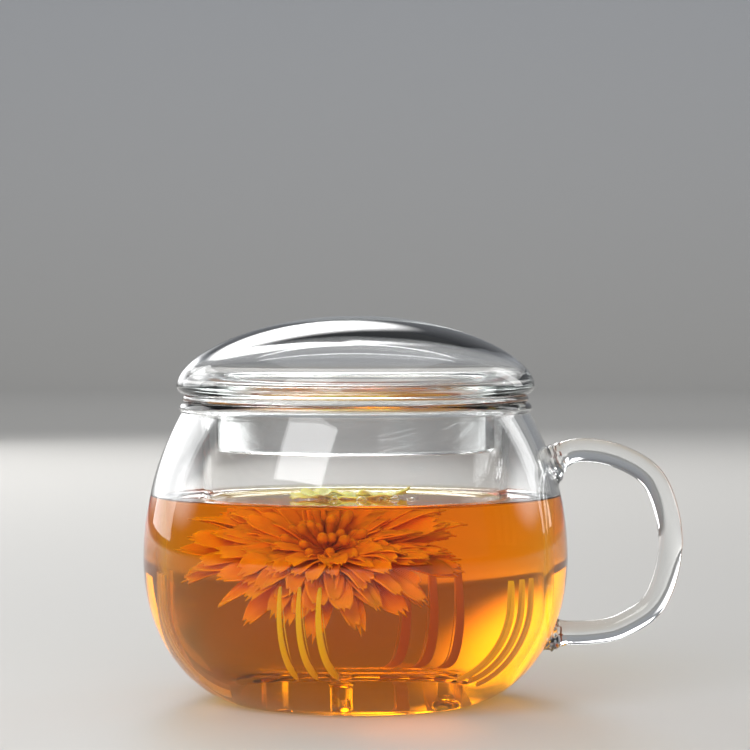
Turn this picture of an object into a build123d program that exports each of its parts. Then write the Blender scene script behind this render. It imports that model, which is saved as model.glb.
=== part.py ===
"""A round-bellied glass tea mug with a hanging slotted infuser and a mushroom lid, in millimetres.

The mug stands on Z = 0 with its axis on Z. The handle points along +X. The infuser hangs by its
flange on the mug's rim, and the lid lies on that flange with its ring inside the infuser.
"""

import os
from math import atan2, copysign, cos, degrees, radians, sin, sqrt

from build123d import *

# --- Mug: a blown bowl with a flat base and a fire-polished rim -------------------------------
belly_radius = 50.3  # outside, at the widest
belly_height = 33.5  # of the widest place, above the table
base_radius = 30.0  # of the flat that stands on the table
base_rounding = 0.9  # how far under the table the foot's ellipse would have its lowest point
neck_radius = 41.3  # outside, just under the rim's bead
rim_height = 70.4  # top of the rim
rim_bead_height = 2.3
rim_bead_swell = 0.5  # how far the bead stands out past the neck
rim_flat_width = 0.8  # the seat on top of the rim
mug_wall = 2.0
mug_floor = 3.0  # thickness of the base

# --- Handle: a bent glass rod, welded to the bowl at both ends --------------------------------
handle_rod_radius = 2.9
handle_reach = 24.5  # of the rod's centreline, past the belly
handle_crest_drop = 11.3  # from the rim down to the top of the centreline
handle_sole_height = 15.5  # of the bottom of the centreline
handle_rise = 2.3  # how far the top run climbs from the bowl to its crest
handle_squareness = 2.5  # exponent of the superellipse that the rod follows
handle_turns = (85, 62, 34, 0, -34, -62, -80)  # degrees round it where the rod is guided
weld_radius = 5.2  # of the glass gob, where it meets the bowl
weld_length = 3.4  # of the gob, along the rod
weld_lip = 0.25  # of the gob's thin end, past the rod

# --- Infuser: a drawn tube with a flange, a rounded floor, slits and three feet ---------------
infuser_wall = 1.7
infuser_mouth_gap = 2.2  # between the infuser and the mug's neck
infuser_taper = 1.7  # how much narrower it is where the floor's rounding starts
infuser_corner_radius = 14.0  # outside, between wall and floor
flange_thickness = 2.0
flange_inset = 0.8  # from the rim bead's outside to the flange's outside
flange_edge_radius = 0.8
slit_groups = 4
slits_per_group = 3
slit_width = 1.2
slit_pitch = 4.3
slit_climb = 15.5  # of a slit inside the infuser, above its floor
slit_start_angle = 7.0  # degrees round the inside corner from the floor, at a slit's low end
slit_group_angle = -109.0  # of the first group, from +X
slit_wheel_radius = 40.0  # of the wheel that cuts the slits
foot_count = 3
foot_radius = 2.4
foot_flare = 0.6  # how much wider a foot is where it is fused to the floor
foot_height = 7.4
foot_gap = 1.1  # between a foot and the mug's floor
foot_circle_radius = 17.3
foot_angle = -99.0  # of the first foot, from +X

# --- Lid: a hollow mushroom cap with a ring that drops into the infuser -----------------------
lid_overhang = 1.4  # of the cap past the flange
lid_rise = 18.6  # of the cap above its underside
lid_wall = 2.2
lid_edge_radius = 2.1
lid_edge_fullness = 0.40  # of the dome's curve at its edge; 0.55 is an ellipse's
lid_crown_fullness = 0.57  # of the dome's curve at its top
ring_gap = 2.1  # between the ring and the infuser's inside
ring_wall = 2.0
ring_depth = 13.5  # of the ring below the cap's underside

# --- Worked out from the sizes above ----------------------------------------------------------
rim_radius = neck_radius + rim_bead_swell
neck_height = rim_height - rim_bead_height
seat_outer_radius = rim_radius - rim_bead_height / 2
seat_inner_radius = seat_outer_radius - rim_flat_width
shoulder_narrowing = belly_radius - neck_radius
shoulder_climb = neck_height - belly_height
shoulder_radius = (shoulder_narrowing**2 + shoulder_climb**2) / (2 * shoulder_narrowing)
shoulder_centre = belly_radius - shoulder_radius
cavity_floor_radius = base_radius - mug_wall
foot_drop = belly_height + base_rounding
foot_base_share = sqrt(1 - (belly_height / foot_drop) ** 2)
foot_reach = (belly_radius - base_radius) / (1 - foot_base_share)
foot_centre = belly_radius - foot_reach
weld_reach = mug_wall + weld_length
standing = (Align.CENTER, Align.CENTER, Align.MIN)

infuser_floor_height = mug_floor + foot_gap + foot_height
infuser_floor_top = infuser_floor_height + infuser_wall
infuser_corner_height = infuser_floor_height + infuser_corner_radius
flange_top = rim_height + flange_thickness
flange_radius = rim_radius - flange_inset

lid_radius = flange_radius + lid_overhang
lid_underside = flange_top
lid_top = lid_underside + lid_rise


def bowl_radius(height):
    """The bowl's outside radius at a height, from its foot ellipse and its shoulder arc."""
    if height < belly_height:
        share = (belly_height - height) / foot_drop
        return foot_centre + foot_reach * sqrt(1 - share**2)
    return shoulder_centre + sqrt(shoulder_radius**2 - (height - belly_height) ** 2)


def cavity_radius(height):
    """The bowl's inside radius at a height above the belly."""
    inside = shoulder_radius - mug_wall
    return shoulder_centre + sqrt(inside**2 - (height - belly_height) ** 2)


cavity_neck_radius = cavity_radius(neck_height)
infuser_top_radius = cavity_neck_radius - infuser_mouth_gap
infuser_inside_radius = infuser_top_radius - infuser_wall
infuser_corner_start = infuser_top_radius - infuser_taper
infuser_flat_radius = infuser_corner_start - infuser_corner_radius
ring_radius = infuser_inside_radius - ring_gap
ring_inside_radius = ring_radius - ring_wall


def spin(*edges):
    """A solid turned about Z from a closed section, drawn as radius and height."""
    section = Plane.XZ * make_face(Wire(list(edges)))
    return revolve(section, axis=Axis.Z, revolution_arc=360)


def foot_outside():
    """The outside from the base up to the belly: a stretch of an ellipse that the table cuts."""
    turn = degrees(atan2(belly_height / foot_drop, foot_base_share))
    centre = (foot_centre, belly_height)
    return EllipticalCenterArc(centre, foot_reach, foot_drop, -turn, arc_size=turn)


def foot_inside():
    """The inside from the floor up to the belly: a quarter ellipse, level at the floor."""
    reach = belly_radius - mug_wall - cavity_floor_radius
    centre = (cavity_floor_radius, belly_height)
    return EllipticalCenterArc(centre, reach, belly_height - mug_floor, 270, arc_size=90)


def bowl_outside():
    """The edges of the bowl's outside, from the middle of the base up to the rim's seat."""
    middle = (belly_height + neck_height) / 2
    bead = (rim_radius, neck_height + rim_bead_height / 2)
    neck = (neck_radius, neck_height)
    return [
        Line((0, 0), (base_radius, 0)),
        foot_outside(),
        ThreePointArc((belly_radius, belly_height), (bowl_radius(middle), middle), neck),
        ThreePointArc(neck, bead, (seat_outer_radius, rim_height)),
    ]


def bowl_inside():
    """The edges of the bowl's inside, from the rim's seat down to the middle of the floor."""
    middle = (belly_height + neck_height) / 2
    neck = (cavity_neck_radius, neck_height)
    belly = (belly_radius - mug_wall, belly_height)
    return [
        Line((seat_outer_radius, rim_height), (seat_inner_radius, rim_height)),
        Line((seat_inner_radius, rim_height), neck),
        ThreePointArc(neck, (cavity_radius(middle), middle), belly),
        foot_inside(),
        Line((cavity_floor_radius, mug_floor), (0, mug_floor)),
    ]


def mug_bowl():
    """The bowl: one blown piece with a thicker base and a beaded rim."""
    return spin(*bowl_outside(), *bowl_inside(), Line((0, mug_floor), (0, 0)))


def bowl_envelope():
    """The bowl with its inside filled, to shape what is welded to it."""
    top = Line((seat_outer_radius, rim_height), (0, rim_height))
    return spin(*bowl_outside(), top, Line((0, rim_height), (0, 0)))


def handle_path():
    """The rod's centreline: out of the bowl's wall, round a superellipse, and back."""
    crest = rim_height - handle_crest_drop
    middle = (crest + handle_sole_height) / 2
    half = (crest - handle_sole_height) / 2
    power = 2 / handle_squareness
    upper_root = crest - handle_rise
    points = [(bowl_radius(upper_root) - mug_wall, upper_root)]
    for turn in handle_turns:
        across = cos(radians(turn)) ** power
        up = copysign(abs(sin(radians(turn))) ** power, turn)
        points.append((belly_radius + handle_reach * across, middle + half * up))
    points.append((bowl_radius(handle_sole_height) - mug_wall, handle_sole_height))
    return Plane.XZ * Spline(*points)


def weld_frame(path, end):
    """The plane across the rod at one end of its path, facing away from the bowl."""
    outward = path % end if end == 0 else -(path % end)
    return Plane(path @ end, z_dir=outward)


def handle_weld(frame, envelope):
    """The gob of glass at one end of the rod, where it is fused to the bowl."""
    gob = Cone(weld_radius, handle_rod_radius + weld_lip, weld_reach, align=standing)
    return frame * gob - envelope


def handle_rod(path):
    """The bent rod, ending flat against each gob."""
    section = Plane(path @ 0, z_dir=path % 0) * Circle(handle_rod_radius)
    gob_space = Cylinder(2 * weld_radius, weld_reach, align=standing)
    rod = sweep(section, path=path)
    for end in (0, 1):
        rod -= weld_frame(path, end) * gob_space
    return rod


def infuser_corner(radius):
    """The corner between the infuser's floor and wall, from the floor up."""
    return CenterArc((infuser_flat_radius, infuser_corner_height), radius, 270, 90)


def infuser_outside():
    """The edges of the infuser's outside, from the middle of its floor to the flange's top."""
    flange_end = flange_radius - flange_edge_radius
    low_edge = (flange_end, rim_height + flange_edge_radius)
    high_edge = (flange_end, flange_top - flange_edge_radius)
    corner_end = (infuser_corner_start, infuser_corner_height)
    return [
        Line((0, infuser_floor_height), (infuser_flat_radius, infuser_floor_height)),
        infuser_corner(infuser_corner_radius),
        Line(corner_end, (infuser_top_radius, rim_height)),
        Line((infuser_top_radius, rim_height), (flange_end, rim_height)),
        CenterArc(low_edge, flange_edge_radius, 270, 90),
        Line((flange_radius, low_edge[1]), (flange_radius, high_edge[1])),
        CenterArc(high_edge, flange_edge_radius, 0, 90),
    ]


def infuser_inside():
    """The edges of the infuser's inside, from the flange's top to the middle of its floor."""
    flange_end = flange_radius - flange_edge_radius
    mouth = (infuser_inside_radius + flange_edge_radius, flange_top - flange_edge_radius)
    corner_end = (infuser_corner_start - infuser_wall, infuser_corner_height)
    return [
        Line((flange_end, flange_top), (mouth[0], flange_top)),
        CenterArc(mouth, flange_edge_radius, 90, 90),
        Line((infuser_inside_radius, mouth[1]), corner_end),
        infuser_corner(infuser_corner_radius - infuser_wall),
        Line((infuser_flat_radius, infuser_floor_top), (0, infuser_floor_top)),
    ]


def infuser_shell():
    """The infuser's tube, flange and floor before the slits are cut."""
    axis = Line((0, infuser_floor_top), (0, infuser_floor_height))
    return spin(*infuser_outside(), *infuser_inside(), axis)


def slit_wheel():
    """The cutting wheel, upright over +X: its edge passes through both ends of a slit."""
    low = infuser_corner(infuser_corner_radius - infuser_wall) @ (slit_start_angle / 90)
    low = Vector(low.X, 0, low.Y)
    high = Vector(infuser_corner_start - infuser_wall, 0, infuser_floor_top + slit_climb)
    chord = high - low
    stand_off = sqrt(slit_wheel_radius**2 - (chord.length / 2) ** 2)
    outward = Vector(chord.Z, 0, -chord.X).normalized()
    centre = (low + high) / 2 + outward * stand_off
    return Plane(centre, z_dir=(0, -1, 0)) * Cylinder(slit_wheel_radius, slit_width)


def infuser_body():
    """The infuser with its groups of parallel slits through the wall's rounded foot."""
    wheel = slit_wheel()
    middle = (slits_per_group - 1) / 2
    body = infuser_shell()
    for group in range(slit_groups):
        turn = slit_group_angle + group * 360 / slit_groups
        for slit in range(slits_per_group):
            across = (slit - middle) * slit_pitch
            body -= Rot(0, 0, turn) * Pos(0, across, 0) * wheel
    return body


def infuser_foot(number):
    """One of the glass pegs under the infuser: flared at the top, round at the tip."""
    tip = infuser_floor_height - foot_height
    waist = tip + foot_radius
    flare_start = infuser_floor_height - foot_flare
    flare = (foot_radius + foot_flare, flare_start)
    top = (foot_radius + foot_flare, infuser_floor_height)
    peg = spin(
        Line((0, infuser_floor_height), (0, tip)),
        CenterArc((0, waist), foot_radius, 270, 90),
        Line((foot_radius, waist), (foot_radius, flare_start)),
        CenterArc(flare, foot_flare, 180, -90),
        Line(top, (0, infuser_floor_height)),
    )
    turn = foot_angle + number * 360 / foot_count
    return Rot(0, 0, turn) * Pos(foot_circle_radius, 0, 0) * peg


def dome(radius, foot, top):
    """The curve of the lid's dome, upright at its edge and level at its top."""
    rise = top - foot
    return Bezier(
        (radius, foot),
        (radius, foot + rise * lid_edge_fullness),
        (radius * lid_crown_fullness, top),
        (0, top),
    )


def lid_cap():
    """The hollow cap: a dome folded round at its edge into a flat underside with a hole."""
    edge = (lid_radius - lid_edge_radius, lid_underside + lid_edge_radius)
    plate_top = lid_underside + lid_wall
    fold_radius = lid_edge_radius - lid_wall / 2
    fold = (lid_radius - lid_wall - fold_radius, plate_top + fold_radius)
    return spin(
        Line((ring_inside_radius, lid_underside), (edge[0], lid_underside)),
        CenterArc(edge, lid_edge_radius, 270, 90),
        dome(lid_radius, edge[1], lid_top),
        Line((0, lid_top), (0, lid_top - lid_wall)),
        dome(lid_radius - lid_wall, fold[1], lid_top - lid_wall),
        CenterArc(fold, fold_radius, 270, 90),
        Line((fold[0], plate_top), (ring_inside_radius, plate_top)),
        Line((ring_inside_radius, plate_top), (ring_inside_radius, lid_underside)),
    )


def lid_ring():
    """The ring sealed to the cap's underside, which centres the lid in the infuser."""
    lip_radius = ring_wall / 2
    lip = (ring_radius - lip_radius, lid_underside - ring_depth + lip_radius)
    return spin(
        Line((ring_radius, lip[1]), (ring_radius, lid_underside)),
        Line((ring_radius, lid_underside), (ring_inside_radius, lid_underside)),
        Line((ring_inside_radius, lid_underside), (ring_inside_radius, lip[1])),
        CenterArc(lip, lip_radius, 180, 180),
    )


def build():
    """Every piece by its node name."""
    envelope = bowl_envelope()
    path = handle_path()
    pieces = {
        "mug_bowl": mug_bowl(),
        "handle_rod": handle_rod(path),
        "upper_handle_weld": handle_weld(weld_frame(path, 0), envelope),
        "lower_handle_weld": handle_weld(weld_frame(path, 1), envelope),
        "infuser_body": infuser_body(),
        "lid_cap": lid_cap(),
        "lid_ring": lid_ring(),
    }
    for number in range(foot_count):
        pieces[f"infuser_foot_{number + 1}"] = infuser_foot(number)
    return pieces


os.makedirs("parts", exist_ok=True)
for node, shape in build().items():
    export_step(shape, f"parts/{node}.step")
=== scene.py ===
"""A glass tea mug with its hanging infuser and loose domed lid, filled with tea and an opened flower.

Everything is in metres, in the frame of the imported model: the mug stands on Z = 0 with its axis on Z,
and its handle points along +X.
"""

import logging
import math
import random
from collections.abc import Callable, Iterable, Sequence
from dataclasses import dataclass, field
from enum import Enum

import bmesh
import bpy
from mathutils import Matrix, Vector


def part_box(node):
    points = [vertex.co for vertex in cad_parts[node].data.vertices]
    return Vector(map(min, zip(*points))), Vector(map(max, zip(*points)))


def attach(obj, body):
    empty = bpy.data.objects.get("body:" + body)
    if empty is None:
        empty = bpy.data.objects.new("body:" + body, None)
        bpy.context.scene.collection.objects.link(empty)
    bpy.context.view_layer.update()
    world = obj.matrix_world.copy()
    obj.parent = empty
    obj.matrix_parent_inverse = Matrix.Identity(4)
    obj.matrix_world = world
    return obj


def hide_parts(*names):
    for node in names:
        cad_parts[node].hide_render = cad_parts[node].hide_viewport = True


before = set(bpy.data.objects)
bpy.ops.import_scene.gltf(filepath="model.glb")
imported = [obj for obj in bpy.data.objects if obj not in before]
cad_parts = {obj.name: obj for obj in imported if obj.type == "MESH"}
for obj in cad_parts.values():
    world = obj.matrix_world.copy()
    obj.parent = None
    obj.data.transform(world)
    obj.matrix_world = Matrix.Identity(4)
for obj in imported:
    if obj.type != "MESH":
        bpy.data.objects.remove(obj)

LOG = logging.getLogger("tea_mug")
MM = 0.001
FULL_TURN = 2 * math.pi
GOLDEN_TURN = math.pi * (3 - math.sqrt(5))
FREE_SURFACE = "free_surface"  # the face attribute of the tea's open surface
HOLLOW_SIDE = "hollow_side"  # the face attribute of the bowl's inside
PETAL_CHART = "blade"  # the petals' own map: U across, V from root to tip
WAVE_TURN = 20.0  # radians that a wave texture of scale 1 runs through over one unit

Point = tuple[float, float]
Stop = tuple[float, str]
Sockets = dict[str, object]

# What glass lets through of a lamp's light, from face on to edge on.
PASSED_BY_GLANCE: tuple[Stop, ...] = (
    (0.0, "#fdfdfd"), (0.65, "#f8f8f8"), (0.88, "#c4c4c4"), (1.0, "#404040"),
)


class Body(Enum):
    """The moving bodies that a piece can ride on."""

    MUG = "mug"
    INFUSER = "infuser"
    LID = "lid"


# --- Outlines and meshes ------------------------------------------------------------------------


def arc(centre: Point, radii: Point, start: float, sweep: float, steps: int) -> list[Point]:
    """Points along a stretch of an ellipse.

    Args:
        centre: its centre, as radius and height.
        radii: its half width and half height.
        start: where it starts, in degrees anticlockwise from the +radius side.
        sweep: how far it runs, in degrees; negative is clockwise.
        steps: the number of spans.

    Returns:
        The points, both ends included.
    """
    turns = [math.radians(start + sweep * i / steps) for i in range(steps + 1)]
    return [(centre[0] + radii[0] * math.cos(t), centre[1] + radii[1] * math.sin(t)) for t in turns]


def bezier(points: Sequence[Point], steps: int) -> list[Point]:
    """Points along a cubic Bezier curve.

    Args:
        points: its four control points.
        steps: the number of spans.

    Returns:
        The points, both ends included.
    """
    made = []
    for i in range(steps + 1):
        t = i / steps
        weights = ((1 - t) ** 3, 3 * t * (1 - t) ** 2, 3 * t * t * (1 - t), t**3)
        made.append(tuple(sum(w * p[k] for w, p in zip(weights, points)) for k in (0, 1)))
    return made


def between(start: Point, end: Point, steps: int) -> list[Point]:
    """Evenly spaced points on a straight stretch, without its ends.

    Args:
        start: where it starts.
        end: where it ends.
        steps: the number of spans.

    Returns:
        The points.
    """
    return [
        (start[0] + (end[0] - start[0]) * i / steps, start[1] + (end[1] - start[1]) * i / steps)
        for i in range(1, steps)
    ]


def smooth_line(points: Sequence[Sequence[float]], steps: int) -> list[Vector]:
    """A smooth line through every point given.

    Args:
        points: the points it passes through.
        steps: the number of spans between two of them.

    Returns:
        Points along the line, both ends included.
    """
    ends = [Vector(p) for p in points]
    ends = [2 * ends[0] - ends[1], *ends, 2 * ends[-1] - ends[-2]]
    line = []
    for a, b, c, d in zip(ends, ends[1:], ends[2:], ends[3:]):
        for i in range(steps):
            t = i / steps
            line.append(
                0.5 * (2 * b + (c - a) * t + (2 * a - 5 * b + 4 * c - d) * t**2
                       + (3 * b - a - 3 * c + d) * t**3)
            )
    return [*line, ends[-2]]


def spun(mesh: bmesh.types.BMesh, outline: Iterable[Point], segments: int) -> None:
    """Adds a solid of revolution about Z to a mesh.

    Args:
        mesh: where it goes.
        outline: its section, as radius and height, which doesn't close on itself.
        segments: the number of steps round Z.
    """
    rim = [mesh.verts.new((radius, 0, height)) for radius, height in outline]
    edges = [mesh.edges.new(pair) for pair in zip(rim, rim[1:])]
    bmesh.ops.spin(
        mesh, geom=[*rim, *edges], cent=(0, 0, 0), axis=(0, 0, 1), angle=FULL_TURN,
        steps=segments, use_merge=True, use_duplicate=False,
    )
    bmesh.ops.remove_doubles(mesh, verts=mesh.verts, dist=0.0001 * MM)
    bmesh.ops.recalc_face_normals(mesh, faces=mesh.faces)


def joined(mesh: bmesh.types.BMesh, part: bmesh.types.BMesh) -> None:
    """Adds a part to a mesh.

    Args:
        mesh: where it goes.
        part: the part, which is freed.
    """
    scrap = bpy.data.meshes.new("part")
    part.to_mesh(scrap)
    part.free()
    mesh.from_mesh(scrap)
    bpy.data.meshes.remove(scrap)


def finished(name: str, mesh: bmesh.types.BMesh, crease: float = 40) -> bpy.types.Object:
    """Turns a bmesh into a smooth-shaded object in the scene.

    Args:
        name: the object's name.
        mesh: the bmesh, which is freed.
        crease: the angle in degrees from which an edge shows as sharp.

    Returns:
        The new object, at the origin.
    """
    data = bpy.data.meshes.new(name)
    mesh.to_mesh(data)
    mesh.free()
    data.shade_smooth()
    data.set_sharp_from_angle(angle=math.radians(crease))
    piece = bpy.data.objects.new(name, data)
    bpy.context.scene.collection.objects.link(piece)
    return piece


def marked(mesh: bmesh.types.BMesh, name: str, chosen: Callable[[bmesh.types.BMFace], bool]) -> None:
    """Marks some of a mesh's faces with an attribute of 1, and the rest with 0.

    Args:
        mesh: the mesh.
        name: the attribute's name.
        chosen: says whether a face is marked.
    """
    layer = mesh.faces.layers.float.new(name)
    for face in mesh.faces:
        face[layer] = float(chosen(face))


def thickened(piece: bpy.types.Object, thickness: float) -> None:
    """Gives a skin its thickness, half on either side.

    Args:
        piece: the skin.
        thickness: how thick it becomes.
    """
    skin = piece.modifiers.new("thickness", "SOLIDIFY")
    skin.thickness = thickness
    skin.offset = 0


def applied(piece: bpy.types.Object) -> None:
    """Bakes a piece's modifiers into its mesh.

    Args:
        piece: the object, which has no modifiers afterwards.
    """
    graph = bpy.context.evaluated_depsgraph_get()
    data = bpy.data.meshes.new_from_object(piece.evaluated_get(graph), depsgraph=graph)
    piece.modifiers.clear()
    old = piece.data
    piece.data = data
    bpy.data.meshes.remove(old)


# --- Colours and nodes --------------------------------------------------------------------------


def colour(hex_code: str) -> tuple[float, float, float, float]:
    """The linear colour of an sRGB hex code.

    Args:
        hex_code: six hex digits after a hash.

    Returns:
        Red, green, blue and an alpha of 1.
    """
    parts = [int(hex_code[i : i + 2], 16) / 255 for i in (1, 3, 5)]
    linear = [c / 12.92 if c <= 0.04045 else ((c + 0.055) / 1.055) ** 2.4 for c in parts]
    return (*linear, 1.0)


def add_node(
    tree: bpy.types.NodeTree, kind: str, sockets: Sockets | None = None, **settings: object
) -> bpy.types.Node:
    """Adds a node to a tree, sets it up and links it.

    Args:
        tree: the node tree.
        kind: the node's type, without the words ShaderNode.
        sockets: its inputs by name or number, each a value or the output to link from.
        settings: its properties.

    Returns:
        The new node.
    """
    node = tree.nodes.new("ShaderNode" + kind)
    for name, value in settings.items():
        setattr(node, name, value)
    for name, value in (sockets or {}).items():
        if isinstance(value, bpy.types.NodeSocket):
            tree.links.new(value, node.inputs[name])
        else:
            node.inputs[name].default_value = value
    return node


def ramp(
    tree: bpy.types.NodeTree, factor: bpy.types.NodeSocket, stops: Sequence[Stop]
) -> bpy.types.NodeSocket:
    """A colour ramp over a factor.

    Args:
        tree: the node tree.
        factor: what it reads.
        stops: each stop's place from 0 to 1 and its hex colour, in order.

    Returns:
        The ramp's colour output.
    """
    node = add_node(tree, "ValToRGB", {"Fac": factor})
    marks = node.color_ramp.elements
    while len(marks) < len(stops):
        marks.new(0.5)
    for mark, (place, hex_code) in zip(marks, stops):
        mark.position = place
        mark.color = colour(hex_code)
    return node.outputs["Color"]


def lamp_lit(tree: bpy.types.NodeTree, glass: bpy.types.NodeSocket) -> bpy.types.NodeSocket:
    """Lets the lamps shine through glass, so that they reach what is inside it.

    A path tracer's straight way to a lamp stops at glass that bends light. Here it goes on, less at a
    glancing angle, and is coloured by the volumes on its way. What is seen in the glass and through it
    stays as it was.

    Args:
        tree: the node tree.
        glass: the glass's shader output.

    Returns:
        The shader output to use instead.
    """
    path = add_node(tree, "LightPath")
    glance = add_node(tree, "LayerWeight", {"Blend": 0.5}).outputs["Facing"]
    passed = ramp(tree, glance, PASSED_BY_GLANCE)
    clear = add_node(tree, "BsdfTransparent", {"Color": passed}).outputs["BSDF"]
    for ray in ("Is Diffuse Ray", "Is Shadow Ray"):
        mixed = add_node(tree, "MixShader", {0: path.outputs[ray], 1: glass, 2: clear})
        glass = mixed.outputs["Shader"]
    return glass


def new_material(name: str) -> tuple[bpy.types.Material, bpy.types.NodeTree, bpy.types.Node]:
    """An empty node material.

    Args:
        name: the material's name.

    Returns:
        The material, its tree and its output node.
    """
    material = bpy.data.materials.new(name)
    material.use_nodes = True
    material.node_tree.nodes.clear()
    output = add_node(material.node_tree, "OutputMaterial")
    return material, material.node_tree, output


# --- Finishes -----------------------------------------------------------------------------------


@dataclass(frozen=True)
class BlownGlass:
    """Borosilicate glass as it leaves the flame.

    Polished by the fire, it is perfectly smooth but never quite even: reflections swim a little,
    and long paths through it turn faintly green-grey at the edges.
    """

    name: str
    tint: str = "#dcebe6"
    tint_strength: float = 14.0  # per metre of glass
    swell_size: float = 13 * MM  # from one thick place to the next
    swell_height: float = 0.030 * MM
    stretch: tuple[float, float, float] = (1.0, 1.0, 0.6)
    index: float = 1.47
    tea_line: float = 0.0  # the glass is wet below this height
    tea_index: float = 1.333
    wet_side: str = ""  # the face attribute of the side that is wet, if only one is

    def wetted(self, tree: bpy.types.NodeTree) -> bpy.types.NodeSocket:
        """The bend of light at the surface: glass against air, or against tea below the tea line.

        Args:
            tree: the node tree.

        Returns:
            The index of refraction, from one side of the surface to the other.
        """
        place = add_node(tree, "NewGeometry").outputs["Position"]
        height = add_node(tree, "SeparateXYZ", {"Vector": place}).outputs["Z"]
        wet = add_node(tree, "Math", {0: height, 1: self.tea_line}, operation="LESS_THAN")
        if self.wet_side:
            side = add_node(tree, "Attribute", attribute_name=self.wet_side).outputs["Fac"]
            wet = add_node(tree, "Math", {0: wet.outputs["Value"], 1: side}, operation="MULTIPLY")
        return add_node(tree, "MapRange", {
            "Value": wet.outputs["Value"], "To Min": self.index, "To Max": self.index / self.tea_index,
        }).outputs["Result"]

    def material(self) -> bpy.types.Material:
        """The glass as a node material.

        Returns:
            The material.
        """
        material, tree, output = new_material(self.name)
        place = add_node(tree, "TexCoord").outputs["Object"]
        drawn = add_node(tree, "Mapping", {"Vector": place, "Scale": self.stretch})
        swell = add_node(tree, "TexNoise", {
            "Vector": drawn.outputs["Vector"], "Scale": 1 / self.swell_size,
            "Detail": 1.0, "Roughness": 0.4,
        })
        bump = add_node(tree, "Bump", {
            "Height": swell.outputs["Fac"], "Distance": self.swell_height, "Strength": 1.0,
        })
        shader = add_node(tree, "BsdfPrincipled", {
            "Base Color": (1.0, 1.0, 1.0, 1.0), "Roughness": 0.0, "IOR": self.index,
            "Transmission Weight": 1.0, "Normal": bump.outputs["Normal"],
        })
        if self.tea_line:
            tree.links.new(self.wetted(tree), shader.inputs["IOR"])
        depth = add_node(tree, "VolumeAbsorption", {
            "Color": colour(self.tint), "Density": self.tint_strength,
        })
        tree.links.new(lamp_lit(tree, shader.outputs["BSDF"]), output.inputs["Surface"])
        tree.links.new(depth.outputs["Volume"], output.inputs["Volume"])
        return material


@dataclass(frozen=True)
class GroundGlass:
    """Borosilicate glass cut by a diamond wheel.

    A slit's walls are left matt, and glow white from light that falls on either side of them.
    """

    name: str = "borosilicate_ground"
    white: str = "#fffdf5"
    grit: float = 0.25 * MM  # drawn coarser than the wheel's grit, so that it shows
    grit_height: float = 0.03 * MM
    passed: float = 0.5  # the share of the light that comes out on the far side
    roughness: float = 0.6
    index: float = 1.1  # of glass against tea

    def material(self) -> bpy.types.Material:
        """The ground glass as a node material.

        Returns:
            The material.
        """
        material, tree, output = new_material(self.name)
        place = add_node(tree, "TexCoord").outputs["Object"]
        grain = add_node(tree, "TexNoise", {"Vector": place, "Scale": 1 / self.grit, "Detail": 2.0})
        bump = add_node(tree, "Bump", {
            "Height": grain.outputs["Fac"], "Distance": self.grit_height, "Strength": 1.0,
        })
        shader = add_node(tree, "BsdfPrincipled", {
            "Base Color": colour(self.white), "Roughness": self.roughness, "IOR": self.index,
            "Normal": bump.outputs["Normal"],
        })
        glow = add_node(tree, "BsdfTranslucent", {
            "Color": colour(self.white), "Normal": bump.outputs["Normal"],
        })
        both = add_node(tree, "MixShader", {
            0: self.passed, 1: shader.outputs["BSDF"], 2: glow.outputs["BSDF"],
        })
        tree.links.new(both.outputs["Shader"], output.inputs["Surface"])
        return material


@dataclass(frozen=True)
class SteepedTea:
    """Clear steeped tea: yellow where the light's way through it is short, deep orange where long."""

    name: str = "steeped_tea"
    tint: str = "#fff700"
    strength: float = 250.0  # per metre of tea, of the colour that it takes most of
    index: float = 1.333

    def material(self) -> bpy.types.Material:
        """The tea as a node material.

        Returns:
            The material.
        """
        material, tree, output = new_material(self.name)
        shader = add_node(tree, "BsdfPrincipled", {
            "Base Color": (1.0, 1.0, 1.0, 1.0), "Roughness": 0.0, "IOR": self.index,
            "Transmission Weight": 1.0,
        })
        free = add_node(tree, "Attribute", attribute_name=FREE_SURFACE).outputs["Fac"]
        bend = add_node(tree, "MapRange", {"Value": free, "To Min": 1.0, "To Max": self.index})
        tree.links.new(bend.outputs["Result"], shader.inputs["IOR"])
        depth = add_node(tree, "VolumeAbsorption", {
            "Color": colour(self.tint), "Density": self.strength,
        })
        tree.links.new(lamp_lit(tree, shader.outputs["BSDF"]), output.inputs["Surface"])
        tree.links.new(depth.outputs["Volume"], output.inputs["Volume"])
        return material


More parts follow.
